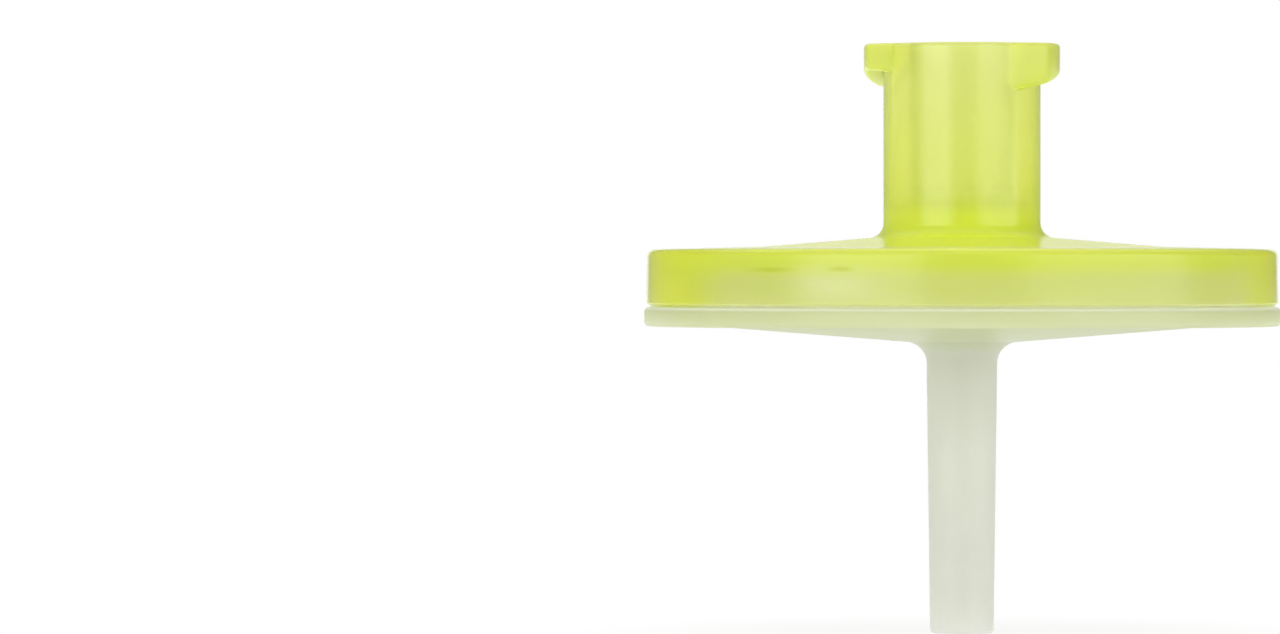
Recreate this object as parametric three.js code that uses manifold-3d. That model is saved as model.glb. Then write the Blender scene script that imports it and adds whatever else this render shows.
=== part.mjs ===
// Syringe filter with a female Luer-lock inlet, a welded disc housing and a slim outlet nozzle.
// Millimetres, +Z up. The origin is the centre of the inlet's mouth, and the flow runs towards -Z.

import * as THREE from "three";
import { mergeVertices } from "three/addons/utils/BufferGeometryUtils.js";
import Module from "manifold-3d";

// Facets of the round surfaces
const SEGMENTS = 64;
const FILLET_STEPS = 5;

// Luer-lock barrel
const BARREL_RADIUS = 3.14;
const BARREL_FOOT_FILLET = 0.6;
const SOCKET_MOUTH_RADIUS = 2.15;
const SOCKET_TAPER = 0.06;
const SOCKET_DEPTH = 7.35;
const SOCKET_FLOOR_ABOVE_RIM = 0.85;
const SOCKET_MOUTH_CHAMFER = 0.12;
const ORIFICE_RADIUS = 1.35;

// The two lugs of the Luer lock, each described round its own centre line
const LUG_RADIUS = 3.92;
const LUG_HEIGHT = 1.04;
const LUG_LOW_HEIGHT = 1.7;
const LUG_THREAD_LEAD = 5.7;
const LUG_RAMP_ANGLE = 13;
const LUG_LOW_FOOT_ANGLE = -50;
const LUG_LOW_CORNER_ANGLE = -26;
const LUG_LOW_CORNER_ROUND = 0.45;
const LUG_HIGH_CORNER_ANGLE = 20;
const LUG_HIGH_FOOT_ANGLE = 40;
const LUG_TURN = -5;
const LUG_ARC_STEPS = 10;
const LUG_CORNER_STEPS = 4;

// Inlet plate, its dome and its skirt
const SKIRT_RADIUS = 12.62;
const SKIRT_HEIGHT = 2.18;
const SKIRT_WALL = 1.4;
const SKIRT_DRAFT = 0.03;
const RIM_FILLET = 0.3;
const PLATE_THICKNESS = 1.0;
const PLATE_FALL = 0.1;
const DOME_RADIUS = 8.0;
const DOME_RISE = 0.4;
const CEILING_RISE = 0.3;

// Membrane and the edge that pinches it
const MEMBRANE_THICKNESS = 0.15;
const MEMBRANE_CLEARANCE = 0.1;
const CLAMP_WIDTH = 0.55;
const CLAMP_SETBACK = 0.05;
const INLET_CHAMBER_HEIGHT = 0.3;

// Weld between the two housings
const GROOVE_HEIGHT = 0.12;
const GROOVE_DEPTH = 0.42;
const WELD_CLEARANCE = 0.05;
const WELD_WIDTH = 1.22;

// Outlet flange, membrane support and drain
const FLANGE_OVERHANG = 0.08;
const FLANGE_THICKNESS = 0.78;
const FLANGE_FILLET = 0.2;
const CHANNEL_DEPTH = 0.4;
const SUPPORT_SPOKES = 12;
const SPOKE_WIDTH = 0.5;
const SPOKE_START_RADIUS = 1.8;
const DRAIN_RADIUS = 1.2;
const DRAIN_DEPTH = 0.6;

// Outlet cone and nozzle
const CONE_RADIUS = 10.0;
const CONE_DROP = 0.68;
const NOZZLE_LENGTH = 12.27;
const NOZZLE_ROOT_RADIUS = 1.42;
const NOZZLE_TIP_RADIUS = 1.27;
const NOZZLE_ROOT_FILLET = 0.85;
const NOZZLE_TIP_FILLET = 0.18;
const LUMEN_RADIUS = 0.6;
const LUMEN_TIP_RADIUS = 0.5;

// Levels, from the mouth of the inlet downwards
const rimZ = -(SOCKET_DEPTH + SOCKET_FLOOR_ABOVE_RIM);
const skirtBottomZ = rimZ - SKIRT_HEIGHT;
const flangeTopZ = skirtBottomZ - GROOVE_HEIGHT;
const flangeBottomZ = flangeTopZ - FLANGE_THICKNESS;
const nozzleEndZ = flangeBottomZ - NOZZLE_LENGTH;
const domeFootZ = rimZ + PLATE_FALL;
const domeTopZ = domeFootZ + DOME_RISE;
const weldZ = rimZ - PLATE_THICKNESS;
const membraneTopZ = weldZ - INLET_CHAMBER_HEIGHT;
const membraneBottomZ = membraneTopZ - MEMBRANE_THICKNESS;
const channelFloorZ = membraneBottomZ - CHANNEL_DEPTH;
const drainFloorZ = channelFloorZ - DRAIN_DEPTH;

// Radii that follow from the driving ones
const flangeRadius = SKIRT_RADIUS + FLANGE_OVERHANG;
const skirtInnerRadius = SKIRT_RADIUS - SKIRT_WALL;
const weldOuterRadius = skirtInnerRadius - WELD_CLEARANCE;
const weldInnerRadius = weldOuterRadius - WELD_WIDTH;
const membraneRadius = weldInnerRadius - MEMBRANE_CLEARANCE;
const clampOuterRadius = membraneRadius - CLAMP_SETBACK;
const chamberRadius = membraneRadius - CLAMP_WIDTH;
const socketFloorRadius = SOCKET_MOUTH_RADIUS - (SOCKET_TAPER / 2) * SOCKET_DEPTH;
const lugRootRadius = (SOCKET_MOUTH_RADIUS + BARREL_RADIUS) / 2;

const wasm = await Module();
wasm.setup();

// A point of a lathe profile: radius and height.
function at(radius, z) {
  return new THREE.Vector2(radius, z);
}

// A round that joins the straight from `before` to `corner` and the one from `corner` to `after`.
function fillet(before, corner, after, radius) {
  const towardsBefore = before.clone().sub(corner).normalize();
  const towardsAfter = after.clone().sub(corner).normalize();
  const halfAngle = Math.acos(towardsBefore.dot(towardsAfter)) / 2;
  const reach = radius / Math.tan(halfAngle);
  const bisector = towardsBefore.clone().add(towardsAfter).normalize();
  const centre = corner.clone().addScaledVector(bisector, radius / Math.sin(halfAngle));
  const start = corner.clone().addScaledVector(towardsBefore, reach).sub(centre);
  const end = corner.clone().addScaledVector(towardsAfter, reach).sub(centre);
  const sweep = Math.atan2(start.cross(end), start.dot(end));
  const points = [];
  for (let i = 0; i <= FILLET_STEPS; i += 1) {
    const angle = start.angle() + (sweep * i) / FILLET_STEPS;
    points.push(at(centre.x + radius * Math.cos(angle), centre.y + radius * Math.sin(angle)));
  }
  return points;
}

// A closed profile turned about the Z axis.
function turned(profile) {
  const closed = [...profile, profile[0]];
  const geometry = new THREE.LatheGeometry(closed, SEGMENTS);
  geometry.rotateX(Math.PI / 2);
  return geometry;
}

// A geometry as a solid that can be joined and cut.
function solidOf(geometry) {
  const bare = geometry.clone();
  bare.deleteAttribute("normal");
  bare.deleteAttribute("uv");
  const merged = mergeVertices(bare, 1e-4);
  const mesh = new wasm.Mesh({
    numProp: 3,
    vertProperties: new Float32Array(merged.attributes.position.array),
    triVerts: new Uint32Array(merged.index.array),
  });
  return new wasm.Manifold(mesh);
}

// A solid's surface as a geometry with flat facets.
function geometryOf(solid) {
  const mesh = solid.getMesh();
  const geometry = new THREE.BufferGeometry();
  geometry.setAttribute("position", new THREE.BufferAttribute(mesh.vertProperties, mesh.numProp));
  geometry.setIndex(new THREE.BufferAttribute(mesh.triVerts, 1));
  const flat = geometry.toNonIndexed();
  flat.computeVertexNormals();
  return flat;
}

// Point at an angle in degrees, in plan.
function polar(radius, degrees) {
  const angle = THREE.MathUtils.degToRad(degrees);
  return new THREE.Vector2(radius * Math.cos(angle), radius * Math.sin(angle));
}

// Plan of one lug: a flank that leaves the barrel almost flush, a rounded corner, the outer arc and a short
// flank back to the barrel.
function lugPlan() {
  const lowFoot = polar(BARREL_RADIUS, LUG_LOW_FOOT_ANGLE);
  const lowCorner = polar(LUG_RADIUS, LUG_LOW_CORNER_ANGLE);
  const flankEnd = lowFoot.clone().sub(lowCorner).setLength(LUG_LOW_CORNER_ROUND).add(lowCorner);
  const arcStart = LUG_LOW_CORNER_ANGLE + THREE.MathUtils.radToDeg(LUG_LOW_CORNER_ROUND / LUG_RADIUS);
  const corner = new THREE.QuadraticBezierCurve(flankEnd, lowCorner, polar(LUG_RADIUS, arcStart));
  const outline = [polar(lugRootRadius, LUG_LOW_FOOT_ANGLE), lowFoot];
  outline.push(...corner.getPoints(LUG_CORNER_STEPS));
  const arcSweep = LUG_HIGH_CORNER_ANGLE - arcStart;
  for (let i = 1; i <= LUG_ARC_STEPS; i += 1) {
    outline.push(polar(LUG_RADIUS, arcStart + (arcSweep * i) / LUG_ARC_STEPS));
  }
  outline.push(polar(BARREL_RADIUS, LUG_HIGH_FOOT_ANGLE));
  const rootSweep = LUG_LOW_FOOT_ANGLE - LUG_HIGH_FOOT_ANGLE;
  for (let i = 0; i < LUG_ARC_STEPS; i += 1) {
    outline.push(polar(lugRootRadius, LUG_HIGH_FOOT_ANGLE + (rootSweep * i) / LUG_ARC_STEPS));
  }
  return new THREE.Shape(outline);
}

// Depth of a lug's underside: level on its high half, then falling with the thread, then level again.
function lugDepth(degrees) {
  const fall = (LUG_THREAD_LEAD * Math.max(0, LUG_RAMP_ANGLE - degrees)) / 360;
  return Math.min(LUG_HEIGHT + fall, LUG_LOW_HEIGHT);
}

// One lug, hanging from the mouth's level, with its underside on the thread's ramp.
function lug(turnDegrees) {
  const geometry = new THREE.ExtrudeGeometry(lugPlan(), { depth: 1, bevelEnabled: false });
  const position = geometry.attributes.position;
  for (let i = 0; i < position.count; i += 1) {
    const degrees = THREE.MathUtils.radToDeg(Math.atan2(position.getY(i), position.getX(i)));
    position.setZ(i, position.getZ(i) > 0.5 ? 0 : -lugDepth(degrees));
  }
  geometry.rotateZ(THREE.MathUtils.degToRad(turnDegrees));
  return solidOf(geometry);
}

// Section of the inlet housing without its lugs.
function inletProfile() {
  const barrelFoot = at(BARREL_RADIUS, domeTopZ);
  const domeFoot = at(DOME_RADIUS, domeFootZ);
  const rimEdge = at(SKIRT_RADIUS - SKIRT_DRAFT, rimZ);
  const skirtEdge = at(SKIRT_RADIUS, skirtBottomZ);
  return [
    at(SOCKET_MOUTH_RADIUS, -SOCKET_MOUTH_CHAMFER),
    at(socketFloorRadius, -SOCKET_DEPTH),
    at(ORIFICE_RADIUS, -SOCKET_DEPTH),
    at(ORIFICE_RADIUS, weldZ + CEILING_RISE),
    at(chamberRadius, weldZ),
    at(chamberRadius, membraneTopZ),
    at(clampOuterRadius, membraneTopZ),
    at(clampOuterRadius, weldZ),
    at(skirtInnerRadius, weldZ),
    at(skirtInnerRadius, flangeTopZ),
    at(SKIRT_RADIUS - GROOVE_DEPTH, flangeTopZ),
    skirtEdge,
    ...fillet(skirtEdge, rimEdge, domeFoot, RIM_FILLET),
    domeFoot,
    ...fillet(domeFoot, barrelFoot, at(BARREL_RADIUS, 0), BARREL_FOOT_FILLET),
    at(BARREL_RADIUS, 0),
    at(SOCKET_MOUTH_RADIUS + SOCKET_MOUTH_CHAMFER, 0),
  ];
}

function inletHousing() {
  const body = solidOf(turned(inletProfile()));
  const lugs = [lug(LUG_TURN), lug(LUG_TURN + 180)];
  return geometryOf(body.add(lugs[0]).add(lugs[1]));
}

// Section of the outlet housing without the spokes that carry the membrane.
function outletProfile() {
  const nozzleRoot = at(NOZZLE_ROOT_RADIUS, flangeBottomZ - CONE_DROP);
  const coneEdge = at(CONE_RADIUS, flangeBottomZ);
  const nozzleTip = at(NOZZLE_TIP_RADIUS, nozzleEndZ);
  const flangeLow = at(flangeRadius, flangeBottomZ);
  const flangeHigh = at(flangeRadius, flangeTopZ);
  return [
    at(LUMEN_TIP_RADIUS, nozzleEndZ),
    ...fillet(at(LUMEN_TIP_RADIUS, nozzleEndZ), nozzleTip, nozzleRoot, NOZZLE_TIP_FILLET),
    ...fillet(nozzleTip, nozzleRoot, coneEdge, NOZZLE_ROOT_FILLET),
    coneEdge,
    ...fillet(coneEdge, flangeLow, flangeHigh, FLANGE_FILLET),
    ...fillet(flangeLow, flangeHigh, at(weldOuterRadius, flangeTopZ), FLANGE_FILLET),
    at(weldOuterRadius, flangeTopZ),
    at(weldOuterRadius, weldZ),
    at(weldInnerRadius, weldZ),
    at(weldInnerRadius, membraneBottomZ),
    at(chamberRadius, membraneBottomZ),
    at(chamberRadius, channelFloorZ),
    at(DRAIN_RADIUS, channelFloorZ),
    at(LUMEN_RADIUS, drainFloorZ),
  ];
}

// One spoke that carries the membrane, sunk into the recess floor and joined to the land around it.
function supportSpoke(degrees) {
  const endRadius = chamberRadius + CLAMP_WIDTH / 2;
  const length = endRadius - SPOKE_START_RADIUS;
  const height = 1.5 * CHANNEL_DEPTH;
  const geometry = new THREE.BoxGeometry(length, SPOKE_WIDTH, height);
  geometry.translate(SPOKE_START_RADIUS + length / 2, 0, membraneBottomZ - height / 2);
  geometry.rotateZ(THREE.MathUtils.degToRad(degrees));
  return solidOf(geometry);
}

function outletHousing() {
  let body = solidOf(turned(outletProfile()));
  for (let i = 0; i < SUPPORT_SPOKES; i += 1) {
    body = body.add(supportSpoke((360 * i) / SUPPORT_SPOKES));
  }
  return geometryOf(body);
}

function filterMembrane() {
  const geometry = new THREE.CylinderGeometry(membraneRadius, membraneRadius, MEMBRANE_THICKNESS, SEGMENTS);
  geometry.rotateX(Math.PI / 2);
  geometry.translate(0, 0, (membraneTopZ + membraneBottomZ) / 2);
  return geometry;
}

function piece(name, geometry, color, roughness) {
  const material = new THREE.MeshStandardMaterial({ color, roughness, metalness: 0 });
  const mesh = new THREE.Mesh(geometry, material);
  mesh.name = name;
  return mesh;
}

const group = new THREE.Group();
group.add(piece("inlet_housing", inletHousing(), 0xd6e454, 0.4));
group.add(piece("outlet_housing", outletHousing(), 0xd2d5c6, 0.4));
group.add(piece("filter_membrane", filterMembrane(), 0xf4f4f0, 0.9));

export default group;
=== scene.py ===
"""Looks of a syringe filter: two translucent moulded housings welded round a white membrane.

Sizes are in millimetres and become metres where a mesh is made, apart from the studio's, which are in metres.
The overall sizes come from the frame, and each housing's own section follows from them.
"""

import logging
import math
from dataclasses import dataclass
from enum import Enum
from typing import Callable, Sequence

import bmesh
import bpy
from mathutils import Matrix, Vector


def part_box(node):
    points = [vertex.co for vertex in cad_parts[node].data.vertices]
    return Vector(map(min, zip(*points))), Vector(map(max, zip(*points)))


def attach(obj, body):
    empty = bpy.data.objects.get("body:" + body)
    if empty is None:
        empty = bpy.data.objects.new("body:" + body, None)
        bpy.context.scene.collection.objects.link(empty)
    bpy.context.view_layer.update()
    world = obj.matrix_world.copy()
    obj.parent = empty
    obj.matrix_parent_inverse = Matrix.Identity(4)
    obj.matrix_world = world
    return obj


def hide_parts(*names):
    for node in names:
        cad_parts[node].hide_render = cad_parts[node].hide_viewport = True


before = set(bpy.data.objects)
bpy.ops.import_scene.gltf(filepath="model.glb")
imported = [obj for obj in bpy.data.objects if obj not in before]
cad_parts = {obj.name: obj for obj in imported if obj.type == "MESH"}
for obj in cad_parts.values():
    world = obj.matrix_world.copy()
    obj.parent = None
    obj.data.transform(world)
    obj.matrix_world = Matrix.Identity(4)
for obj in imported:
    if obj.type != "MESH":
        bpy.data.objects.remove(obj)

MM = 0.001
COLUMNS = 180
TOUCH = 1e-6  # metres
FULL_TURN, HALF_TURN, QUARTER_TURN = 360.0, 180.0, 90.0
FILLET_STEPS, RIM_STEPS, EDGE_STEPS, NICK_STEPS, FINE_STEPS = 8, 5, 4, 3, 2
BLACK = (0.0, 0.0, 0.0, 1.0)
WHITE = (1.0, 1.0, 1.0, 1.0)
PAPER = (0.92, 0.92, 0.92, 1.0)
RELIEF_HEIGHT = 0.02

Colour = tuple[float, float, float, float]
Span = tuple[float, float]

log = logging.getLogger("syringe_filter")


# --- Meshes turned from rings ---


class Select(Enum):
    """What an edit-mode selection picks."""

    VERTICES = "VERT"
    EDGES = "EDGE"
    FACES = "FACE"


@dataclass(frozen=True)
class Ring:
    """One circle of a turned section, in millimetres."""

    radius: float
    z: float

    def at(self, degrees: float) -> tuple[float, float]:
        """Radius and height of the ring at an angle round the axis."""
        return self.radius, self.z


@dataclass(frozen=True)
class ShapedRing(Ring):
    """A ring whose radius and height follow the angle.

    Its plain radius and height are those that it is first extruded to.
    """

    radius_at: Callable[[float], float]
    z_at: Callable[[float], float]

    def at(self, degrees: float) -> tuple[float, float]:
        """Radius and height of the ring at an angle round the axis."""
        return self.radius_at(degrees), self.z_at(degrees)


def clear_selection() -> None:
    """Leaves object mode with nothing selected."""
    if bpy.context.mode != "OBJECT":
        bpy.ops.object.mode_set(mode="OBJECT")
    bpy.ops.object.select_all(action="DESELECT")


def activate(piece: bpy.types.Object) -> None:
    """Selects one object alone and makes it the active one."""
    clear_selection()
    piece.select_set(True)
    bpy.context.view_layer.objects.active = piece


def apply_modifier(kind: str, **settings: object) -> None:
    """Gives the active object a modifier with some settings, and applies it."""
    bpy.ops.object.modifier_add(type=kind)
    modifier = bpy.context.active_object.modifiers[-1]
    for name, setting in settings.items():
        setattr(modifier, name, setting)
    bpy.ops.object.modifier_apply(modifier=modifier.name)


def fillet_reach(before: Ring, corner: Ring, after: Ring, radius: float) -> float:
    """How far a fillet reaches from a corner of a section.

    Args:
        before: The section's point before the corner.
        corner: The corner.
        after: The section's point after the corner.
        radius: The fillet's radius.

    Returns:
        The distance from the corner to where the fillet meets each straight, in millimetres.
    """
    back = Vector((before.radius - corner.radius, before.z - corner.z))
    ahead = Vector((after.radius - corner.radius, after.z - corner.z))
    return radius / math.tan(back.angle(ahead) / 2)


def soft_min(first: float, second: float, width: float) -> float:
    """The smaller of two lengths, rounded off where they are within a width of each other."""
    nearness = max(width - abs(first - second), 0.0) / width
    return min(first, second) - nearness * nearness * width / 4


def soft_max(first: float, second: float, width: float) -> float:
    """The larger of two lengths, rounded off where they are within a width of each other."""
    return -soft_min(-first, -second, width)


def direction(degrees: float) -> Vector:
    """The unit vector at an angle round the axis."""
    return Vector((math.cos(math.radians(degrees)), math.sin(math.radians(degrees))))


class TurnedBody:
    """A closed body modelled ring by ring, from one circle that is extruded round a section."""

    def __init__(self, name: str, rings: Sequence[Ring], turn: float = 0.0) -> None:
        """Extrudes the section and closes it.

        Args:
            name: The new object's name.
            rings: The section's rings in order. The last one joins the first.
            turn: Degrees by which the columns are turned, so that one falls on a given angle.
        """
        clear_selection()
        first = rings[0]
        bpy.ops.mesh.primitive_circle_add(
            vertices=COLUMNS,
            radius=first.radius * MM,
            fill_type="NOTHING",
            location=(0, 0, first.z * MM),
            rotation=(0, 0, math.radians(turn)),
        )
        bpy.ops.object.transform_apply(location=True, rotation=True, scale=True)
        self.object = bpy.context.active_object
        self.object.name = name
        self.object.data.name = name
        bpy.ops.object.mode_set(mode="EDIT")
        bpy.ops.mesh.select_mode(type=Select.EDGES.value)
        bpy.ops.mesh.select_all(action="SELECT")
        for before, ring in zip(rings, rings[1:]):
            bpy.ops.mesh.extrude_edges_move(
                TRANSFORM_OT_translate={"value": (0, 0, (ring.z - before.z) * MM)}
            )
            share = ring.radius / before.radius
            bpy.ops.transform.resize(
                value=(share, share, 1), center_override=(0, 0, ring.z * MM)
            )
        self.close(rings[0], rings[-1])
        for ring in rings:
            if isinstance(ring, ShapedRing):
                self.shape(ring)

    def select(self, what: Select, picks: Callable[[bmesh.types.BMVert], bool]) -> int:
        """Selects what has every vertex picked.

        Args:
            what: Vertices, edges or faces.
            picks: Says whether a vertex is picked.

        Returns:
            How many were selected.
        """
        bpy.ops.mesh.select_mode(type=what.value)
        bpy.ops.mesh.select_all(action="DESELECT")
        mesh = bmesh.from_edit_mesh(self.object.data)
        picked = {v for v in mesh.verts if picks(v)}
        if what is Select.VERTICES:
            chosen = list(picked)
        elif what is Select.EDGES:
            chosen = [e for e in mesh.edges if picked.issuperset(e.verts)]
        else:
            chosen = [f for f in mesh.faces if picked.issuperset(f.verts)]
        for item in chosen:
            item.select = True
        mesh.select_flush_mode()
        bmesh.update_edit_mesh(self.object.data)
        return len(chosen)

    def close(self, first: Ring, last: Ring) -> None:
        """Joins the section's last ring to its first."""
        self.select(Select.EDGES, lambda v: on_plain(first, v) or on_plain(last, v))
        bpy.ops.mesh.bridge_edge_loops()

    def shape(self, ring: ShapedRing) -> None:
        """Moves each column's vertex of a shaped ring from its plain place to its own."""
        mesh = bmesh.from_edit_mesh(self.object.data)
        angles = {v.index: angle_of(v) for v in mesh.verts if on_plain(ring, v)}
        for index, degrees in angles.items():
            radius, z = ring.at(degrees)
            share = radius / ring.radius
            self.select(Select.VERTICES, lambda v: v.index == index)
            bpy.ops.transform.resize(value=(share, share, 1), center_override=(0, 0, ring.z * MM))
            bpy.ops.transform.translate(value=(0, 0, (z - ring.z) * MM))

    def round_ring(self, ring: Ring, reach: float, steps: int) -> None:
        """Bevels one ring into a round.

        Args:
            ring: The ring.
            reach: How far the round reaches along the faces on each side.
            steps: The round's steps.
        """
        count = self.select(Select.EDGES, lambda v: on_ring(ring, v))
        if count != COLUMNS:
            raise ValueError(f"{self.object.name}: {count} edges on {ring}")
        bpy.ops.mesh.bevel(
            offset_type="OFFSET",
            offset=reach * MM,
            segments=steps,
            profile=0.5,
            affect="EDGES",
            clamp_overlap=True,
            loop_slide=True,
        )

    def unite(self, other: bpy.types.Object) -> None:
        """Joins another closed body into this one, and removes the other."""
        activate(self.object)
        apply_modifier("BOOLEAN", operation="UNION", solver="EXACT", object=other)
        bpy.data.objects.remove(other)
        bpy.ops.object.mode_set(mode="EDIT")

    def finish(self, material: bpy.types.Material, sharp_degrees: float) -> bpy.types.Object:
        """Turns the faces outwards, shades them smooth, leaves edit mode and gives the body its material.

        Args:
            material: The body's material.
            sharp_degrees: Edges sharper than this stay sharp.

        Returns:
            The finished object.
        """
        bpy.ops.mesh.select_all(action="SELECT")
        bpy.ops.mesh.normals_make_consistent(inside=False)
        activate(self.object)
        bpy.ops.object.shade_smooth_by_angle(angle=math.radians(sharp_degrees))
        apply_modifier("WEIGHTED_NORMAL", keep_sharp=True)
        self.object.data.materials.append(material)
        return self.object


def angle_of(vertex: bmesh.types.BMVert) -> float:
    """Angle of a vertex round the axis, in degrees."""
    return math.degrees(math.atan2(vertex.co.y, vertex.co.x))


def lies_at(radius: float, z: float, vertex: bmesh.types.BMVert) -> bool:
    """Whether a vertex has a radius and height, both in millimetres."""
    off = abs(vertex.co.xy.length - radius * MM) + abs(vertex.co.z - z * MM)
    return off < TOUCH


def on_plain(ring: Ring, vertex: bmesh.types.BMVert) -> bool:
    """Whether a vertex lies where a ring is first extruded to."""
    return lies_at(ring.radius, ring.z, vertex)


def on_ring(ring: Ring, vertex: bmesh.types.BMVert) -> bool:
    """Whether a vertex lies on a ring as it is shaped."""
    return lies_at(*ring.at(angle_of(vertex)), vertex)


# --- Finishes ---

Input = "Value | float | tuple | bpy.types.NodeSocket"


class Value:
    """A number on a shader's socket. Arithmetic on it adds Math nodes."""

    def __init__(self, shader: "Shader", socket: bpy.types.NodeSocket) -> None:
        """Wraps one output socket of a shader."""
        self.shader = shader
        self.socket = socket

    def math(self, operation: str, *values: Input) -> "Value":
        """One Math node's result.

        Args:
            operation: The Math node's operation.
            values: What goes into its sockets, in order.

        Returns:
            The node's output.
        """
        sockets = dict(enumerate(values))
        return self.shader.value("ShaderNodeMath", {"operation": operation}, sockets)

    def __add__(self, other: Input) -> "Value":
        """self + other."""
        return self.math("ADD", self, other)

    __radd__ = __add__

    def __mul__(self, other: Input) -> "Value":
        """self * other."""
        return self.math("MULTIPLY", self, other)

    __rmul__ = __mul__

    def __sub__(self, other: Input) -> "Value":
        """self - other."""
        return self.math("SUBTRACT", self, other)

    def __rsub__(self, other: Input) -> "Value":
        """other - self."""
        return self.math("SUBTRACT", other, self)

    def __truediv__(self, other: Input) -> "Value":
        """self / other."""
        return self.math("DIVIDE", self, other)

    def __abs__(self) -> "Value":
        """|self|."""
        return self.math("ABSOLUTE", self)

    def larger(self, other: Input) -> "Value":
        """The larger of self and other."""
        return self.math("MAXIMUM", self, other)

    def centred(self) -> "Value":
        """A noise from 0 to 1 as one from -0.5 to 0.5."""
        return self - 0.5

    def above(self, low: float, high: float) -> "Value":
        """A smooth step from 0 at low to 1 at high; low may be the larger."""
        settings = {"interpolation_type": "SMOOTHSTEP"}
        sockets = {"Value": self, "From Min": low, "From Max": high}
        return self.shader.value("ShaderNodeMapRange", settings, sockets)

    def bump(self, centre: float, width: float) -> "Value":
        """A smooth hump of 1 at centre that is 0 a width away on each side."""
        return abs(self - centre).above(width, 0.0)


@dataclass(frozen=True)
class Pattern:
    """A noise: features per metre, octaves, and a factor for each axis, where a small one draws it out."""

    scale: float
    detail: float
    stretch: tuple[float, float, float] = (1.0, 1.0, 1.0)


GRAIN = Pattern(5200.0, 2.0)
RIPPLE = Pattern(420.0, 2.0, (1.0, 1.0, 0.35))
DRIFT = Pattern(160.0, 2.0)
SKIRT_MARKS = Pattern(900.0, 3.0, (0.25, 0.25, 1.6))
STREAK_BLUR = Pattern(700.0, 2.0, (0.4, 1.0, 1.0))
FLECK_GRAIN = Pattern(800.0, 3.0, (0.25, 0.25, 1.4))
FIBRES = Pattern(2600.0, 4.0)


class Shader:
    """One material's or world's node tree, with one method that makes its nodes."""

    def __init__(self, tree: bpy.types.NodeTree) -> None:
        """Empties the tree."""
        self.tree = tree
        tree.nodes.clear()

    def node(self, kind: str, settings: dict | None = None, sockets: dict | None = None) -> bpy.types.Node:
        """Makes one node.

        Args:
            kind: The node's type.
            settings: Its properties.
            sockets: The value or link of each input, by name or number.

        Returns:
            The node.
        """
        made = self.tree.nodes.new(kind)
        for name, setting in (settings or {}).items():
            setattr(made, name, setting)
        for key, given in (sockets or {}).items():
            source = given.socket if isinstance(given, Value) else given
            if isinstance(source, bpy.types.NodeSocket):
                self.tree.links.new(source, made.inputs[key])
            else:
                made.inputs[key].default_value = source
        return made

    def value(self, kind: str, settings: dict | None = None, sockets: dict | None = None) -> Value:
        """The first output of a new node, as a Value."""
        return Value(self, self.node(kind, settings, sockets).outputs[0])

    def place(self) -> tuple[Value, Value, Value]:
        """X, Y and Z of the shaded point in millimetres, in the frame."""
        coordinates = self.node("ShaderNodeTexCoord").outputs["Object"]
        parts = self.node("ShaderNodeSeparateXYZ", sockets={0: coordinates}).outputs
        return tuple(Value(self, part) / MM for part in parts)

    def radius(self) -> Value:
        """Distance of the shaded point from the axis, in millimetres."""
        x, y, _ = self.place()
        square = x * x + y * y
        return square.math("SQRT", square)

    def slope(self) -> Value:
        """How far the surface faces up, from -1 to 1."""
        normal = self.node("ShaderNodeNewGeometry").outputs["Normal"]
        return Value(self, self.node("ShaderNodeSeparateXYZ", sockets={0: normal}).outputs["Z"])

    def noise(self, pattern: Pattern) -> Value:
        """A noise on the piece's own coordinates, from 0 to 1."""
        coordinates = self.node("ShaderNodeTexCoord").outputs["Object"]
        mapped = self.node("ShaderNodeMapping", sockets={"Vector": coordinates, "Scale": pattern.stretch})
        sockets = {"Vector": mapped.outputs[0], "Scale": pattern.scale, "Detail": pattern.detail}
        return self.value("ShaderNodeTexNoise", sockets=sockets)

    def relief(self, strength: float, height: Value) -> bpy.types.NodeSocket:
        """The normal of a surface with a fine relief."""
        sockets = {"Strength": strength, "Distance": RELIEF_HEIGHT * MM, "Height": height}
        return self.node("ShaderNodeBump", sockets=sockets).outputs[0]

    def mix(self, share: Input, low: Input, high: Input) -> bpy.types.NodeSocket:
        """A colour between two, by a share from 0 to 1."""
        sockets = {0: share, 6: low, 7: high}
        return self.node("ShaderNodeMix", {"data_type": "RGBA"}, sockets).outputs[2]


def new_material(name: str) -> tuple[bpy.types.Material, Shader]:
    """A new material and the shader that fills it."""
    made = bpy.data.materials.new(name)
    made.use_nodes = True
    return made, Shader(made.node_tree)


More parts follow.
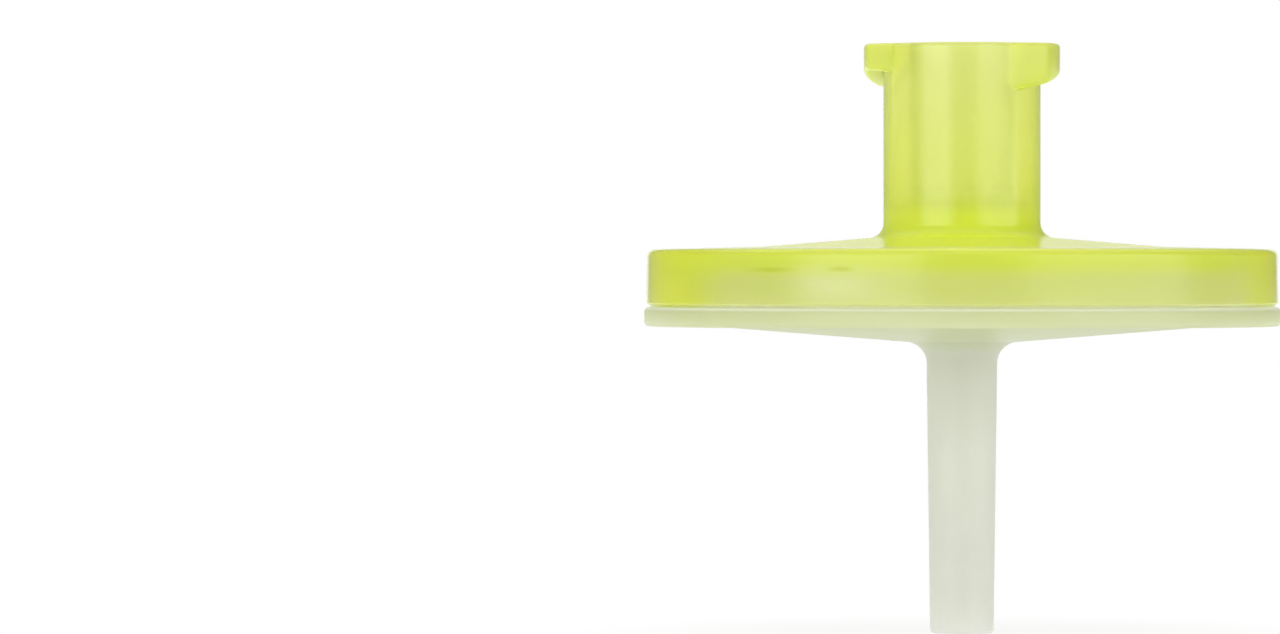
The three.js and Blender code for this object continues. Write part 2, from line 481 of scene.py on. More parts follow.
@dataclass(frozen=True, kw_only=True)
class MouldedPlastic:
    """A moulded polymer, partly clear and partly milky.

    The clear share lets light straight through and takes its colour from the depth colour, which is what is
    left of white light after one depth of the polymer. It fades where the surface is seen at a grazing angle.
    The milky share scatters light, and its tint goes from pale to full. Along the seam it gets a paler tint
    and a faint glow, both painted light that lifts the shade in the groove between the housings. A span is
    where a smooth step starts and where it is full.
    """

    name: str
    pale_tint: Colour
    full_tint: Colour
    knit_and_painted_light_tint: Colour
    seam_painted_glow: Colour
    clear_tint: Colour
    depth_colour: Colour
    clear_share: float
    roughness: float
    haze_radius: float
    seam_z: float
    seam_reach: float
    flow: Pattern
    flow_span: Span = (0.3, 0.7)
    flow_share: float = 0.12
    drift_span: Span = (0.2, 0.8)
    drift_share: float = 0.03
    depth: float = 1.0
    ior: float = 1.49
    grain_roughness: float = 0.06
    grain_height: float = 0.25
    relief: float = 0.25
    grazing_span: Span = (0.5, 0.85)

    def fullness(self, shader: Shader) -> Value:
        """How full the milky tint is, from 0 to 1, by the melt's flow."""
        return shader.noise(self.flow).above(*self.flow_span)

    def seam(self, shader: Shader) -> Value:
        """1 along the seam."""
        return shader.place()[2].bump(self.seam_z, self.seam_reach)

    def tint(self, shader: Shader) -> bpy.types.NodeSocket:
        """The milky share's colour."""
        body = shader.mix(self.fullness(shader), self.pale_tint, self.full_tint)
        # Painted light: the seam is painted paler, which lifts the shade in the groove between the housings.
        return shader.mix(self.seam(shader), body, self.knit_and_painted_light_tint)

    def painted_glow(self, shader: Shader) -> bpy.types.NodeSocket:
        """A painted glow along the seam, which lifts the shade in the groove between the housings."""
        return shader.mix(self.seam(shader), BLACK, self.seam_painted_glow)

    def polish(self, shader: Shader) -> Input:
        """How much smoother than elsewhere the surface is."""
        return 0.0

    def clearness(self, shader: Shader) -> Value:
        """The clear share, which drifts a little with the melt's flow."""
        return shader.noise(DRIFT).above(*self.drift_span) * self.drift_share + self.clear_share

    def material(self) -> bpy.types.Material:
        """The finish as a new material."""
        made, shader = new_material(self.name)
        grain = shader.noise(GRAIN)
        plain = self.roughness - self.grain_roughness / 2
        surface = {
            "Roughness": grain * self.grain_roughness + plain - self.polish(shader),
            "Normal": shader.relief(self.relief, grain * self.grain_height + shader.noise(RIPPLE)),
            "IOR": self.ior,
        }
        milky = shader.node(
            "ShaderNodeBsdfPrincipled",
            sockets={
                **surface,
                "Base Color": self.tint(shader),
                "Emission Color": self.painted_glow(shader),
                "Emission Strength": 1.0,
                "Subsurface Weight": 1.0,
                "Subsurface Radius": (self.haze_radius * MM,) * 3,
                "Subsurface Scale": 1.0,
            },
        )
        clear = shader.node(
            "ShaderNodeBsdfPrincipled",
            sockets={**surface, "Base Color": self.clear_tint, "Transmission Weight": 1.0},
        )
        leaving = Value(shader, shader.node("ShaderNodeNewGeometry").outputs["Backfacing"])
        weight = shader.node("ShaderNodeLayerWeight", sockets={"Blend": 0.5})
        grazing = Value(shader, weight.outputs["Facing"]).above(*self.grazing_span)
        share = leaving.larger(self.clearness(shader) * (1 - grazing))
        body = shader.node("ShaderNodeMixShader", sockets={0: share, 1: milky.outputs[0], 2: clear.outputs[0]})
        inside = shader.node(
            "ShaderNodeVolumeAbsorption",
            sockets={"Color": self.depth_colour, "Density": 1.0 / (self.depth * MM)},
        )
        ends = {"Surface": body.outputs[0], "Volume": inside.outputs[0]}
        shader.node("ShaderNodeOutputMaterial", sockets=ends)
        return made


@dataclass(frozen=True, kw_only=True)
class InletPlastic(MouldedPlastic):
    """The yellow melt: fullest in the solid plate, paler up the barrel and where the weld ring shows through.

    Its clear share is that of the plate, and the barrel's thin wall has one of its own. The faces that face
    up have brighter tints of their own, by the radius, which are painted light from above. A rise is a span
    from the socket's floor.
    """

    painted_light_tint: Colour
    plate_top_light_tint: Colour
    ring_top_light_tint: Colour
    edge_top_light_tint: Colour
    end_tint: Colour
    painted_dip_tint: Colour
    painted_fill_glow: Colour
    barrel_clear_share: float
    lug_fullness: float
    socket_floor_z: float = -7.35
    wall_rise: Span = (-0.2, 0.2)
    clear_rise: Span = (0.4, 1.6)
    painted_light_rise: Span = (1.3, 0.0)
    deep_rise: Span = (1.0, 0.4)
    socket_radii: Span = (2.3, 2.1)
    lug_radii: Span = (3.16, 3.26)
    painted_light_radii: Span = (6.0, 5.0)
    over_ring_radii: Span = (9.65, 9.85)
    over_skirt_radii: Span = (11.05, 11.35)
    mouth_share: float = 0.6
    up_slopes: Span = (0.5, 0.9)
    top_light_slopes: Span = (0.75, 0.97)
    under_slopes: Span = (-0.25, -0.8)
    ring_zs: Span = (-8.7, -9.5)
    ring_share: float = 0.75
    foot_zs: Span = (-9.5, -10.48)
    weld_zs: Span = (-10.31, -10.4)
    mark_share: float = 0.2
    left_end: Span = (-8.8, -11.8)
    right_end: Span = (10.6, 12.4)
    right_share: float = 0.9
    end_polish: float = 0.12
    front_ys: Span = (0.0, -2.0)
    streak_places: tuple[Span, ...] = ((-7.3, 1.3), (-4.8, 0.8))
    streak_z: float = -9.0
    streak_reach: float = 0.15
    streak_blur: Span = (1.2, 0.12)
    fleck_x: float = -5.0
    fleck_z: float = -9.5
    fleck_reach: Span = (2.6, 1.1)
    fleck_span: Span = (0.35, 0.65)
    fleck_least: float = 0.5
    fleck_share: float = 0.25
    knit_slope: float = 0.035
    knit_reach: float = 0.12
    knit_back_ys: Span = (3.14, 3.74)
    knit_back_share: float = 0.6
    knit_fade_ys: Span = (8.8, 9.8)
    knit_fade_share: float = 0.7
    knit_front_ys: Span = (-9.4, -10.2)
    knit_front_share: float = 0.15

    def over_floor(self, shader: Shader, rise: Span) -> Value:
        """A smooth step by the height over the socket's floor."""
        start, full = rise
        return shader.place()[2].above(self.socket_floor_z + start, self.socket_floor_z + full)

    def in_wall(self, shader: Shader) -> Value:
        """1 in the barrel's wall, 0 below the socket's floor."""
        return self.over_floor(shader, self.wall_rise)

    def in_lugs(self, shader: Shader) -> Value:
        """1 in what stands out of the barrel round its mouth."""
        return shader.radius().above(*self.lug_radii) * self.in_wall(shader)

    def in_skirt(self, shader: Shader) -> Value:
        """How much the ring inside the skirt shows, from 0 in the plate to 1 at the weld."""
        z = shader.place()[2]
        return z.above(*self.ring_zs) * self.ring_share + z.above(*self.foot_zs) * (1 - self.ring_share)

    def at_ends(self, shader: Shader) -> Value:
        """1 at the skirt's left and right, as the lugs point, where no paler ring shows through."""
        x = shader.place()[0]
        return x.above(*self.left_end).larger(x.above(*self.right_end) * self.right_share)

    def painted_light_zone(self, shader: Shader) -> Value:
        """1 where light is painted: on the barrel's solid base and the dome round it, which otherwise lie in
        shade.
        """
        return shader.radius().above(*self.painted_light_radii) * self.over_floor(shader, self.painted_light_rise)

    def top_light_tint(self, shader: Shader) -> bpy.types.NodeSocket:
        """Painted light from above on faces that face up: bright over the chamber, pale over the weld ring,
        between them elsewhere.
        """
        radius = shader.radius()
        inner = shader.mix(radius.above(*self.over_ring_radii), self.plate_top_light_tint, self.ring_top_light_tint)
        at_edge = radius.above(*self.over_skirt_radii).larger(self.in_wall(shader) * self.mouth_share)
        plate = shader.mix(at_edge, inner, self.edge_top_light_tint)
        return shader.mix(self.knit_line(shader), plate, self.knit_and_painted_light_tint)

    def tint(self, shader: Shader) -> bpy.types.NodeSocket:
        """The milky share's colour, with painted light on the barrel's base and the dome, painted highlight
        flecks and painted shade in the lamp's reflection on the skirt, and painted light from above on faces
        that face up.
        """
        # Painted highlight: pale flecks where the lamp's reflection falls on the skirt.
        highlighted = shader.mix(self.painted_highlight_flecks(shader) * self.fleck_share, super().tint(shader), self.knit_and_painted_light_tint)
        # Painted shade: darker streaks where the lamp's reflection on the skirt dips.
        dipped = shader.mix(self.painted_dips(shader), highlighted, self.painted_dip_tint)
        ended = shader.mix(self.at_ends(shader), dipped, self.end_tint)
        # Painted light: the barrel's base and the dome round it are painted brighter.
        lightened = shader.mix(self.painted_light_zone(shader), ended, self.painted_light_tint)
        # Painted light: faces that face up take the brighter tints from above.
        return shader.mix(shader.slope().above(*self.top_light_slopes), lightened, self.top_light_tint(shader))

    def painted_glow(self, shader: Shader) -> bpy.types.NodeSocket:
        """Painted light: a glow along the seam, under the lugs and on the socket's floor, which lifts the
        shade there.
        """
        slope = shader.slope()
        under = slope.above(*self.under_slopes) * self.in_lugs(shader)
        deep = self.over_floor(shader, self.deep_rise) * shader.radius().above(*self.socket_radii)
        # Painted light: faces under the lugs and the socket's floor glow to lift their shade.
        lit = under.larger(slope.above(*self.up_slopes) * deep)
        return shader.mix(lit, super().painted_glow(shader), self.painted_fill_glow)

    def polish(self, shader: Shader) -> Input:
        """The skirt is smoothest at its ends."""
        return self.at_ends(shader) * self.end_polish

    def painted_dips(self, shader: Shader) -> Value:
        """Painted shade: short streaks of fuller, darker tint on the skirt's front, where the lamp's
        reflection dips.
        """
        x, y, z = shader.place()
        blur = shader.noise(STREAK_BLUR).centred()
        along, up = self.streak_blur
        marks = sum((x + blur * along).bump(centre, reach) for centre, reach in self.streak_places)
        return marks * (z + blur * up).bump(self.streak_z, self.streak_reach) * y.above(*self.front_ys)

    def painted_highlight_flecks(self, shader: Shader) -> Value:
        """Painted highlight: pale flecks round the streaks, where the lamp's reflection falls on the skirt."""
        x, y, z = shader.place()
        along, up = self.fleck_reach
        patch = x.bump(self.fleck_x, along) * z.bump(self.fleck_z, up) * y.above(*self.front_ys)
        grain = shader.noise(FLECK_GRAIN).above(*self.fleck_span)
        strength = grain * (1 - self.fleck_least) + self.fleck_least
        return patch * strength * (1 - self.painted_dips(shader))

    def knit_line(self, shader: Shader) -> Value:
        """The faint line where the melt's two fronts met: along the back, with its end at the front."""
        x, y, _ = shader.place()
        line = (x - y * self.knit_slope).bump(0.0, self.knit_reach)
        fade = 1 - y.above(*self.knit_fade_ys) * self.knit_fade_share
        back = y.above(*self.knit_back_ys) * fade * self.knit_back_share
        return line * (back + y.above(*self.knit_front_ys) * self.knit_front_share)

    def fullness(self, shader: Shader) -> Value:
        """Fullest in the plate, paler up the barrel and down the skirt."""
        z = shader.place()[2]
        lugs = self.in_lugs(shader)
        wall = z / self.socket_floor_z * (1 - lugs) + lugs * self.lug_fullness
        seen_ring = self.in_skirt(shader) * (1 - self.painted_dips(shader)) * (1 - self.at_ends(shader))
        in_wall = self.in_wall(shader)
        body = in_wall * wall + (1 - in_wall) * (1 - seen_ring)
        marks = shader.noise(SKIRT_MARKS).above(*self.flow_span).centred() * self.mark_share * seen_ring
        flow = super().fullness(shader).centred() * self.flow_share
        return body * (1 - z.above(*self.weld_zs)) + flow + marks

    def clearness(self, shader: Shader) -> Value:
        """Clearest in the barrel's wall, and not in its foot, in the lugs outside it or where it faces up."""
        wall = self.over_floor(shader, self.clear_rise) * (1 - self.in_lugs(shader))
        share = wall * (self.barrel_clear_share - self.clear_share) + super().clearness(shader)
        return share * (1 - shader.slope().above(*self.up_slopes))


@dataclass(frozen=True, kw_only=True)
class OutletPlastic(MouldedPlastic):
    """The natural melt: its flange is painted with the yellow light that the other housing casts on it."""

    painted_bounce_zs: Span = (-12.5, -11.28)

    def fullness(self, shader: Shader) -> Value:
        """Fullest at the flange, where the yellow light from the other housing is painted, and pale down the
        nozzle.
        """
        flow = super().fullness(shader).centred() * self.flow_share
        return shader.place()[2].above(*self.painted_bounce_zs) + flow


@dataclass(frozen=True)
class MembraneCloth:
    """The matt white filter membrane, with a fine fibrous grain.

    It lies in a closed chamber; a faint yellow glow on it is painted light, which stands for the light that
    the yellow plate passes onto it.
    """

    name: str
    colour: Colour
    shade: Colour
    painted_passed_light: Colour
    roughness: float = 0.85
    fibre_roughness: float = 0.1
    relief: float = 0.4
    gloss: float = 0.2

    def material(self) -> bpy.types.Material:
        """The finish as a new material."""
        made, shader = new_material(self.name)
        fibres = shader.noise(FIBRES)
        surface = shader.node(
            "ShaderNodeBsdfPrincipled",
            sockets={
                "Base Color": shader.mix(fibres, self.shade, self.colour),
                "Roughness": fibres * self.fibre_roughness + self.roughness,
                "Normal": shader.relief(self.relief, fibres),
                # Painted light: a glow for the light that the yellow plate passes onto the membrane.
                "Emission Color": self.painted_passed_light,
                "Emission Strength": 1.0,
                "Specular IOR Level": self.gloss,
            },
        )
        shader.node("ShaderNodeOutputMaterial", sockets={"Surface": surface.outputs[0]})
        return made


# --- The filter's pieces ---


@dataclass(frozen=True)
class Levels:
    """Heights and radii that the two housings share, in millimetres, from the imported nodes' boxes."""

    mouth_z: float
    skirt_bottom_z: float
    nozzle_end_z: float
    weld_z: float
    membrane_top_z: float
    membrane_bottom_z: float
    skirt_radius: float
    flange_radius: float
    membrane_radius: float

    @classmethod
    def from_frame(cls) -> "Levels":
        """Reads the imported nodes' boxes."""
        inlet_low, inlet_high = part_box("inlet_housing")
        outlet_low, outlet_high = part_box("outlet_housing")
        membrane_low, membrane_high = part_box("filter_membrane")
        return cls(
            mouth_z=inlet_high.z / MM,
            skirt_bottom_z=inlet_low.z / MM,
            nozzle_end_z=outlet_low.z / MM,
            weld_z=outlet_high.z / MM,
            membrane_top_z=membrane_high.z / MM,
            membrane_bottom_z=membrane_low.z / MM,
            skirt_radius=inlet_high.x / MM,
            flange_radius=outlet_high.x / MM,
            membrane_radius=membrane_high.x / MM,
        )


@dataclass
class LuerLugs:
    """The two lugs round the mouth, each described round its own centre line.

    Each has a long flank that leaves the barrel almost flush, a corner, an arc and a short flank back. The
    flanks' feet run into the barrel. Its underside is level on its high half and then falls with the thread.
    """

    barrel_radius: float
    turn: float = -5.0
    radius: float = 3.92
    height: float = 1.04
    low_height: float = 1.7
    lead: float = 5.7
    ramp_angle: float = 13.0
    low_foot: float = -50.0
    low_corner: float = -26.0
    low_blend: float = 0.3
    high_corner: float = 20.0
    high_foot: float = 40.0
    high_blend: float = 0.08
    foot_blend: float = 0.16
    foot_angle: float = 14.0

    def local_angle(self, degrees: float) -> float:
        """Angle from the centre line of the nearer lug, from -90 to 90."""
        return (degrees - self.turn + QUARTER_TURN) % HALF_TURN - QUARTER_TURN

    def flank(self, foot: float, corner: float, degrees: float) -> float:
        """Radius of the straight flank from the barrel at foot to the arc's end at corner."""
        start = direction(foot) * self.barrel_radius
        along = direction(corner) * self.radius - start
        across = Vector((-along.y, along.x)).normalized()
        return across.dot(start) / across.dot(direction(degrees))

    def radius_at(self, degrees: float) -> float:
        """Radius of the collar's outline at an angle."""
        local = self.local_angle(degrees)
        if local <= self.low_foot - self.foot_angle or local >= self.high_foot + self.foot_angle:
            return self.barrel_radius
        if local < 0:
            foot, corner, blend = self.low_foot, self.low_corner, self.low_blend
        else:
            foot, corner, blend = self.high_foot, self.high_corner, self.high_blend
        outline = soft_min(self.radius, self.flank(foot, corner, local), blend)
        return soft_max(self.barrel_radius, outline, self.foot_blend)

    def depth_at(self, degrees: float) -> float:
        """How far below the mouth a lug's underside lies at an angle."""
        local = self.local_angle(degrees)
        if local >= self.low_foot:
            fall = self.lead * max(0.0, self.ramp_angle - local) / FULL_TURN
            return min(self.height + fall, self.low_height)
        share = (local + QUARTER_TURN) / (self.low_foot + QUARTER_TURN)
        return self.height + share * (self.low_height - self.height)

    def rise_at(self, degrees: float) -> float:
        """How far a lug stands out of the barrel at an angle, from 0 to 1."""
        return (self.radius_at(degrees) - self.barrel_radius) / (self.radius - self.barrel_radius)


@dataclass
class InletHousing:
    """The yellow inlet housing: barrel with its tapered socket and lugs, domed plate and skirt."""

    levels: Levels
    barrel_radius: float = 3.14
    barrel_foot_fillet: float = 0.6
    mouth_radius: float = 2.15
    socket_taper: float = 0.06
    socket_depth: float = 7.35
    mouth_chamfer: float = 0.12
    orifice_radius: float = 1.35
    rim_fillet: float = 0.3
    skirt_height: float = 2.18
    skirt_draft: float = 0.03
    skirt_wall: float = 1.4
    groove_height: float = 0.12
    groove_depth: float = 0.14
    groove_fall: float = 0.04
    foot_gap: float = 0.004
    plate_fall: float = 0.1
    dome_radius: float = 8.0
    dome_rise: float = 0.4
    ceiling_rise: float = 0.3
    clamp_radius: float = 9.8
    chamber_radius: float = 9.3
    lug_foot_depth: float = 1.0
    lug_foot_drop: float = 0.3
    barrel_middle_z: float = -4.5
    edge_round: float = 0.15
    skirt_edge_round: float = 0.05
    socket_floor_round: float = 0.15

    def build(self, finish: bpy.types.Material) -> bpy.types.Object:
        """Models the housing and gives it its finish.

        Args:
            finish: The material that it is moulded in.

        Returns:
            The finished piece.
        """
        levels = self.levels
        lugs = LuerLugs(self.barrel_radius)
        top = levels.mouth_z
        mouth = Ring(self.mouth_radius + self.mouth_chamfer, top)
        collar_top = ShapedRing(self.barrel_radius, top, lugs.radius_at, lambda angle: top)
        collar_bottom = ShapedRing(
            self.barrel_radius, top - lugs.height, lugs.radius_at, lambda angle: top - lugs.depth_at(angle)
        )
        lug_foot = ShapedRing(
            self.barrel_radius,
            collar_bottom.z - self.lug_foot_depth,
            lambda angle: self.barrel_radius,
            lambda angle: top - lugs.depth_at(angle) - self.lug_foot_drop * (1 - lugs.rise_at(angle)),
        )
        foot_z = levels.skirt_bottom_z + self.foot_gap
        skirt_edge = Ring(levels.skirt_radius, levels.skirt_bottom_z + self.groove_height)
        rim = Ring(levels.skirt_radius - self.skirt_draft, skirt_edge.z + self.skirt_height)
        dome_foot = Ring(self.dome_radius, rim.z + self.plate_fall)
        barrel_foot = Ring(self.barrel_radius, dome_foot.z + self.dome_rise)
        groove_radius = levels.skirt_radius - self.groove_depth
        inner_radius = levels.skirt_radius - self.skirt_wall
        floor_radius = self.mouth_radius - self.socket_taper / 2 * self.socket_depth
        socket_floor = Ring(floor_radius, top - self.socket_depth)
        mouth_low = Ring(self.mouth_radius, top - self.mouth_chamfer)
        rings = [
            mouth,
            collar_top,
            collar_bottom,
            lug_foot,
            Ring(self.barrel_radius, self.barrel_middle_z),
            barrel_foot,
            dome_foot,
            rim,
            skirt_edge,
            Ring(groove_radius, skirt_edge.z - self.groove_fall),
            Ring(groove_radius, foot_z),
            Ring(inner_radius, foot_z),
            Ring(inner_radius, levels.weld_z),
            Ring(self.clamp_radius, levels.weld_z),
            Ring(self.clamp_radius, levels.membrane_top_z),
            Ring(self.chamber_radius, levels.membrane_top_z),
            Ring(self.chamber_radius, levels.weld_z),
            Ring(self.orifice_radius, levels.weld_z + self.ceiling_rise),
            Ring(self.orifice_radius, socket_floor.z),
            socket_floor,
            mouth_low,
        ]
        body = TurnedBody("inlet_body", rings, lugs.turn)
        foot_reach = fillet_reach(collar_bottom, barrel_foot, dome_foot, self.barrel_foot_fillet)
        body.round_ring(collar_top, self.edge_round, EDGE_STEPS)
        body.round_ring(collar_bottom, self.edge_round, EDGE_STEPS)
        body.round_ring(barrel_foot, foot_reach, FILLET_STEPS)
        body.round_ring(rim, fillet_reach(dome_foot, rim, skirt_edge, self.rim_fillet), FILLET_STEPS)
        body.round_ring(skirt_edge, self.skirt_edge_round, NICK_STEPS)
        body.round_ring(socket_floor, self.socket_floor_round, EDGE_STEPS)
        piece = body.finish(finish, sharp_degrees=35.0)
        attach(piece, "root")
        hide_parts("inlet_housing")
        return piece


@dataclass
class OutletHousing:
    """The natural outlet housing: weld ring, flange, membrane support, cone and slim nozzle."""

    levels: Levels
    weld_clearance: float = 0.05
    weld_gap: float = 0.02
    skirt_inner_radius: float = 11.22
    weld_inner_radius: float = 9.95
    chamber_radius: float = 9.3
    channel_depth: float = 0.4
    drain_radius: float = 1.2
    drain_depth: float = 0.6
    flange_thickness: float = 0.78
    flange_fillet: float = 0.2
    cone_radius: float = 10.0
    cone_drop: float = 0.68
    nozzle_root_radius: float = 1.42
    nozzle_tip_radius: float = 1.27
    nozzle_root_fillet: float = 0.85
    nozzle_tip_fillet: float = 0.18
    lumen_radius: float = 0.6
    lumen_tip_radius: float = 0.5
    spokes: int = 12
    spoke_width: float = 0.5
    spoke_start: float = 1.8
    spoke_edge: float = 0.06
    spoke_height: float = 0.6

    def make_spokes(self) -> bpy.types.Object:
        """Models one spoke of the membrane's support, and turns copies of it round the axis.

        Returns:
            All the spokes as one object.
        """
        clear_selection()
        top = self.levels.membrane_bottom_z
        length = (self.chamber_radius + self.weld_inner_radius) / 2 - self.spoke_start
        bpy.ops.mesh.primitive_cube_add(
            size=1.0,
            scale=(length * MM, self.spoke_width * MM, self.spoke_height * MM),
            location=((self.spoke_start + length / 2) * MM, 0, (top - self.spoke_height / 2) * MM),
        )
        spoke = bpy.context.active_object
        spoke.name = "support_spoke"
        bpy.ops.object.transform_apply(location=True, rotation=True, scale=True)
        apply_modifier("BEVEL", width=self.spoke_edge * MM, segments=FINE_STEPS)
        copies = [spoke]
        for number in range(1, self.spokes):
            activate(spoke)
            bpy.ops.object.duplicate()
            copy = bpy.context.active_object
            copy.rotation_euler = (0, 0, math.tau * number / self.spokes)
            bpy.ops.object.transform_apply(location=False, rotation=True, scale=False)
            copies.append(copy)
        for copy in copies:
            copy.select_set(True)
        bpy.context.view_layer.objects.active = spoke
        bpy.ops.object.join()
        return spoke

    def build(self, finish: bpy.types.Material) -> bpy.types.Object:
        """Models the housing and gives it its finish.

        Args:
            finish: The material that it is moulded in.

        Returns:
            The finished piece.
        """
        levels = self.levels
        weld_outer_radius = self.skirt_inner_radius - self.weld_clearance
        weld_top_z = levels.weld_z - self.weld_gap
        channel_floor_z = levels.membrane_bottom_z - self.channel_depth
        flange_high = Ring(levels.flange_radius, levels.skirt_bottom_z)
        flange_low = Ring(levels.flange_radius, flange_high.z - self.flange_thickness)
        cone_edge = Ring(self.cone_radius, flange_low.z)
        root = Ring(self.nozzle_root_radius, flange_low.z - self.cone_drop)
        tip = Ring(self.nozzle_tip_radius, levels.nozzle_end_z)
        middle = Ring((root.radius + tip.radius) / 2, (root.z + tip.z) / 2)
        weld_foot = Ring(weld_outer_radius, flange_high.z)
        rings = [
            Ring(self.lumen_tip_radius, levels.nozzle_end_z),
            tip,
            middle,
            root,
            cone_edge,
            flange_low,
            flange_high,
            weld_foot,
            Ring(weld_outer_radius, weld_top_z),
            Ring(self.weld_inner_radius, weld_top_z),
            Ring(self.weld_inner_radius, levels.membrane_bottom_z),
            Ring(self.chamber_radius, levels.membrane_bottom_z),
            Ring(self.chamber_radius, channel_floor_z),
            Ring(self.drain_radius, channel_floor_z),
            Ring(self.lumen_radius, channel_floor_z - self.drain_depth),
        ]
        body = TurnedBody("outlet_body", rings)
        body.round_ring(tip, self.nozzle_tip_fillet, RIM_STEPS)
        body.round_ring(root, fillet_reach(tip, root, cone_edge, self.nozzle_root_fillet), FILLET_STEPS)
        body.round_ring(flange_low, self.flange_fillet, RIM_STEPS)
        body.round_ring(flange_high, self.flange_fillet, RIM_STEPS)
        body.unite(self.make_spokes())
        piece = body.finish(finish, sharp_degrees=35.0)
        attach(piece, "root")
        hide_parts("outlet_housing")
        return piece


@dataclass
class FilterMembrane:
    """The white membrane that the two housings pinch at its edge."""

    levels: Levels
    seat_gap: float = 0.015
    pinch_width: float = 0.5
    centre_radius: float = 0.2
    edge_round: float = 0.03

    def build(self, finish: bpy.types.Material) -> bpy.types.Object:
        """Models the membrane and gives it its finish.

        Args:
            finish: The material that it is cut from.

        Returns:
            The finished piece.
        """
        levels = self.levels
        top = levels.membrane_top_z - self.seat_gap
        bottom = levels.membrane_bottom_z + self.seat_gap
        edge = levels.membrane_radius
        inner = edge - self.pinch_width
        upper = [Ring(radius, top) for radius in (self.centre_radius, inner / 2, inner, edge)]
        lower = [Ring(ring.radius, bottom) for ring in reversed(upper)]
        body = TurnedBody("membrane_disc", upper + lower)
        body.select(Select.FACES, lambda v: v.co.xy.length < 2 * self.centre_radius * MM)
        bpy.ops.mesh.delete(type="FACE")
        for z in (top, bottom):
            body.select(Select.EDGES, lambda v: lies_at(self.centre_radius, z, v))
            bpy.ops.mesh.edge_face_add()
            bpy.ops.mesh.poke()
        for ring in (upper[-1], lower[0]):
            body.round_ring(ring, self.edge_round, FINE_STEPS)
        piece = body.finish(finish, sharp_degrees=50.0)
        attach(piece, "root")
        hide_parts("filter_membrane")
        return piece


# --- Studio ---


@dataclass(frozen=True)
class SoftLamp:
    """A soft area lamp: its place, the point it faces, its size and its power."""

    name: str
    place: tuple[float, float, float]
    target: tuple[float, float, float]
    size: tuple[float, float]
    power: float

    def build(self) -> bpy.types.Object:
        """Makes the lamp, unseen by the camera."""
        data = bpy.data.lights.new(self.name, "AREA")
        data.shape = "RECTANGLE"
        data.size, data.size_y = self.size
        data.energy = self.power
        lamp = bpy.data.objects.new(self.name, data)
        lamp.location = self.place
        aim = Vector(self.target) - Vector(self.place)
        lamp.rotation_euler = aim.to_track_quat("-Z", "Y").to_euler()
        lamp.visible_camera = False
        bpy.context.scene.collection.objects.link(lamp)
        return lamp


@dataclass
class Studio:
    """A white sweep with soft, nearly even light and a long lens level with the disc."""

    levels: Levels
    distance: float = 0.3
    eye_z: float = -0.00887
    aim: tuple[float, float, float] = (-0.01288, 0.0, -0.01091)
    lens: float = 210.9
    sensor: float = 36.0
    clip: Span = (0.01, 20.0)
    floor_size: float = 6.0
    ambient: float = 0.29
    left_lift: float = 0.12
    backdrop_edge: Span = (0.955, 0.982)
    backdrop_level: float = 0.88
    floor_level: float = 0.82
    shadow_share: float = 0.12
    shadow_radii: Span = (0.018, 0.006)

    def build(self) -> None:
        """Makes the camera, world, floor and lamps."""
        self.make_camera()
        self.make_world()
        self.make_floor()
        centre = (0.0, 0.0, self.levels.weld_z * MM)
        lamps = (
            SoftLamp("left_box", place=(-0.4, -0.51, 0.0), target=centre, size=(0.54, 0.6), power=2.8),
            SoftLamp("right_box", place=(0.54, -0.36, 0.0), target=centre, size=(0.82, 0.6), power=3.25),
            SoftLamp("top_box", place=(0.0, 0.0, 0.7), target=centre, size=(1.4, 1.4), power=4.3),
        )
        for lamp in lamps:
            lamp.build()

    def make_camera(self) -> None:
        """A long lens level with the disc."""
        data = bpy.data.cameras.new("camera")
        data.lens = self.lens
        data.sensor_width = self.sensor
        data.clip_start, data.clip_end = self.clip
        camera = bpy.data.objects.new("camera", data)
        camera.location = (0.0, -self.distance, self.eye_z)
        aim = Vector(self.aim) - camera.location
        camera.rotation_euler = aim.to_track_quat("-Z", "Y").to_euler()
        bpy.context.scene.collection.objects.link(camera)
        bpy.context.scene.camera = camera

    @staticmethod
    def strength(shader: Shader, light: Input, mirrored: Input = 1.0) -> Value:
        """Plain white where it is seen straight, through the plastic or in its gloss, else its light.

        Args:
            shader: The node tree to add to.
            light: How strongly it lights the object.
            mirrored: How much of it the gloss shows, from 0 to 1.

        Returns:
            The emission's strength.
        """
        path = shader.node("ShaderNodeLightPath").outputs
        straight = Value(shader, path["Is Transmission Ray"]).larger(path["Is Camera Ray"])
        seen = straight.larger(Value(shader, path["Is Glossy Ray"]) * mirrored)
        return seen + (1 - seen) * light

    def make_world(self) -> None:
        """A white backdrop, dimmer to the sides and in front, where only the lamps light the object."""
        world = bpy.data.worlds.new("studio")
        bpy.context.scene.world = world
        world.use_nodes = True
        shader = Shader(world.node_tree)
        facing = shader.node("ShaderNodeTexCoord").outputs["Generated"]
        parts = shader.node("ShaderNodeSeparateXYZ", sockets={0: facing}).outputs
        behind = Value(shader, parts["Y"]).above(*self.backdrop_edge)
        sides = self.ambient - Value(shader, parts["X"]) * self.left_lift
        light = behind * self.backdrop_level + (1 - behind) * sides
        strength = self.strength(shader, light, mirrored=behind)
        background = shader.node("ShaderNodeBackground", sockets={"Color": WHITE, "Strength": strength})
        shader.node("ShaderNodeOutputWorld", sockets={"Surface": background.outputs[0]})

    def make_floor(self) -> None:
        """A white floor that keeps a faint shadow round where the object stands."""
        clear_selection()
        bpy.ops.mesh.primitive_plane_add(
            size=self.floor_size, location=(0, 0, self.levels.nozzle_end_z * MM)
        )
        floor = bpy.context.active_object
        floor.name = "floor"
        material, shader = new_material("floor_white")
        near = (shader.radius() * MM).above(*self.shadow_radii)
        strength = self.strength(shader, self.floor_level)
        lift = shader.node("ShaderNodeEmission", sockets={"Color": WHITE, "Strength": strength})
        paper = shader.node("ShaderNodeBsdfDiffuse", sockets={"Color": PAPER})
        both = shader.node(
            "ShaderNodeMixShader",
            sockets={0: near * self.shadow_share, 1: lift.outputs[0], 2: paper.outputs[0]},
        )
        shader.node("ShaderNodeOutputMaterial", sockets={"Surface": both.outputs[0]})
        floor.data.materials.append(material)


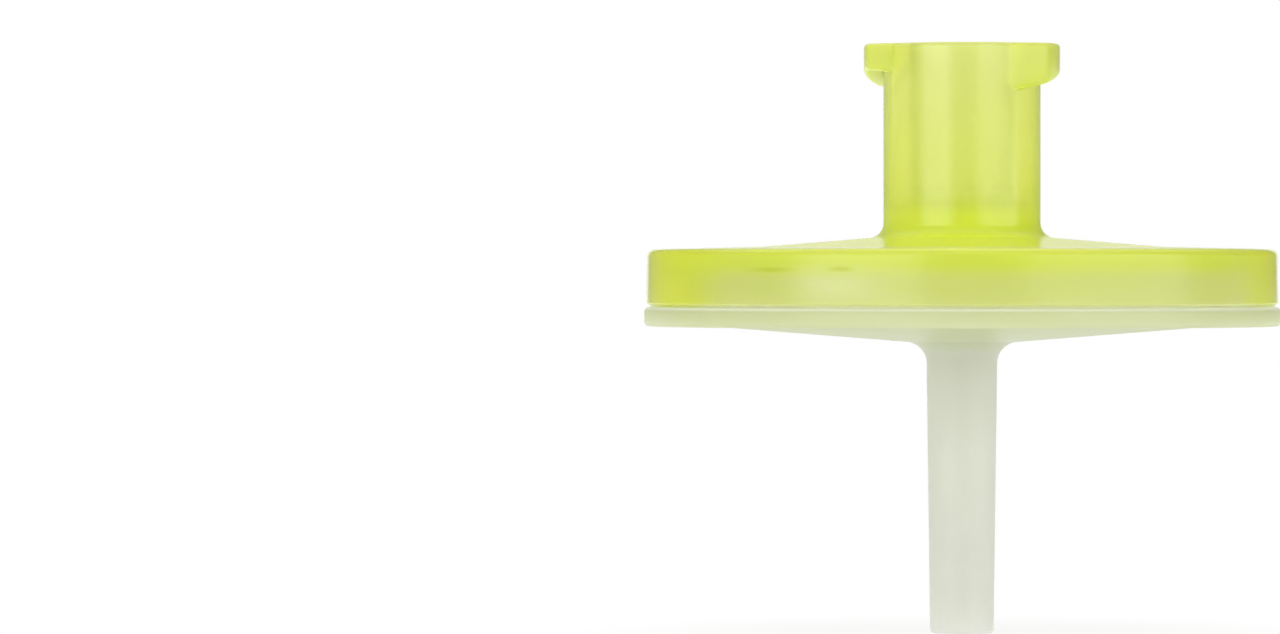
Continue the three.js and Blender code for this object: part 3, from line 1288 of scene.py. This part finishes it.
YELLOW = InletPlastic(
    name="yellow_polymer",
    pale_tint=(0.71, 0.77, 0.24, 1.0),
    full_tint=(0.69, 0.765, 0.08, 1.0),
    # Painted light: the seam's paler tint and glow lift the groove's shade; the same tint draws the knit line
    # and the painted highlight flecks.
    knit_and_painted_light_tint=(0.94, 0.96, 0.7, 1.0),
    seam_painted_glow=(0.06, 0.07, 0.025, 1.0),
    clear_tint=(0.97, 0.98, 0.93, 1.0),
    depth_colour=(0.97, 0.985, 0.42, 1.0),
    clear_share=0.12,
    roughness=0.24,
    haze_radius=0.8,
    seam_z=-10.48,
    seam_reach=0.14,
    flow=Pattern(130.0, 3.0, (1.0, 1.0, 0.6)),
    # Painted light: a brighter tint on the barrel's base and the dome, where they lie in shade.
    painted_light_tint=(0.77, 0.85, 0.068, 1.0),
    # Painted light from above: brighter tints for faces that face up; the paler ring is where the weld ring
    # shows through.
    plate_top_light_tint=(0.83, 0.935, 0.085, 1.0),
    ring_top_light_tint=(0.79, 0.85, 0.32, 1.0),
    edge_top_light_tint=(0.77, 0.84, 0.18, 1.0),
    end_tint=(0.73, 0.8, 0.02, 1.0),
    # Painted shade: darker streaks where the lamp's reflection on the skirt dips.
    painted_dip_tint=(0.6, 0.67, 0.06, 1.0),
    # Painted light: a glow that lifts the shade under the lugs and on the socket's floor.
    painted_fill_glow=(0.13, 0.13, 0.02, 1.0),
    barrel_clear_share=0.63,
    lug_fullness=0.6,
)
NATURAL = OutletPlastic(
    name="natural_polymer",
    pale_tint=(0.79, 0.82, 0.67, 1.0),
    # Painted light: the yellow light that the inlet housing casts on the flange.
    full_tint=(0.605, 0.665, 0.33, 1.0),
    # Painted light: the seam's paler tint and glow lift the shade in the groove.
    knit_and_painted_light_tint=(0.94, 0.96, 0.74, 1.0),
    seam_painted_glow=(0.045, 0.053, 0.015, 1.0),
    clear_tint=(0.98, 0.98, 0.97, 1.0),
    depth_colour=(0.965, 0.97, 0.945, 1.0),
    clear_share=0.03,
    roughness=0.4,
    haze_radius=3.0,
    seam_z=-10.52,
    seam_reach=0.15,
    flow=Pattern(130.0, 3.0, (1.0, 1.0, 0.3)),
)
MEMBRANE = MembraneCloth(
    name="membrane_cloth",
    colour=(0.9387, 0.9387, 0.9216, 1.0),
    shade=(0.8714, 0.8714, 0.8388, 1.0),
    # Painted light: a faint yellow glow for the light that the yellow plate passes.
    painted_passed_light=(0.24, 0.29, 0.03, 1.0),
)


def main() -> None:
    """Builds the filter and its studio, and reports each piece."""
    logging.basicConfig(level=logging.INFO, format="%(name)s: %(message)s")
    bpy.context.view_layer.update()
    bpy.context.scene.view_settings.view_transform = "Standard"
    levels = Levels.from_frame()
    pieces = (
        InletHousing(levels).build(YELLOW.material()),
        OutletHousing(levels).build(NATURAL.material()),
        FilterMembrane(levels).build(MEMBRANE.material()),
    )
    for piece in pieces:
        log.info("%s: %d faces", piece.name, len(piece.data.polygons))
    Studio(levels).build()
    clear_selection()


if __name__ == "__main__":
    main()
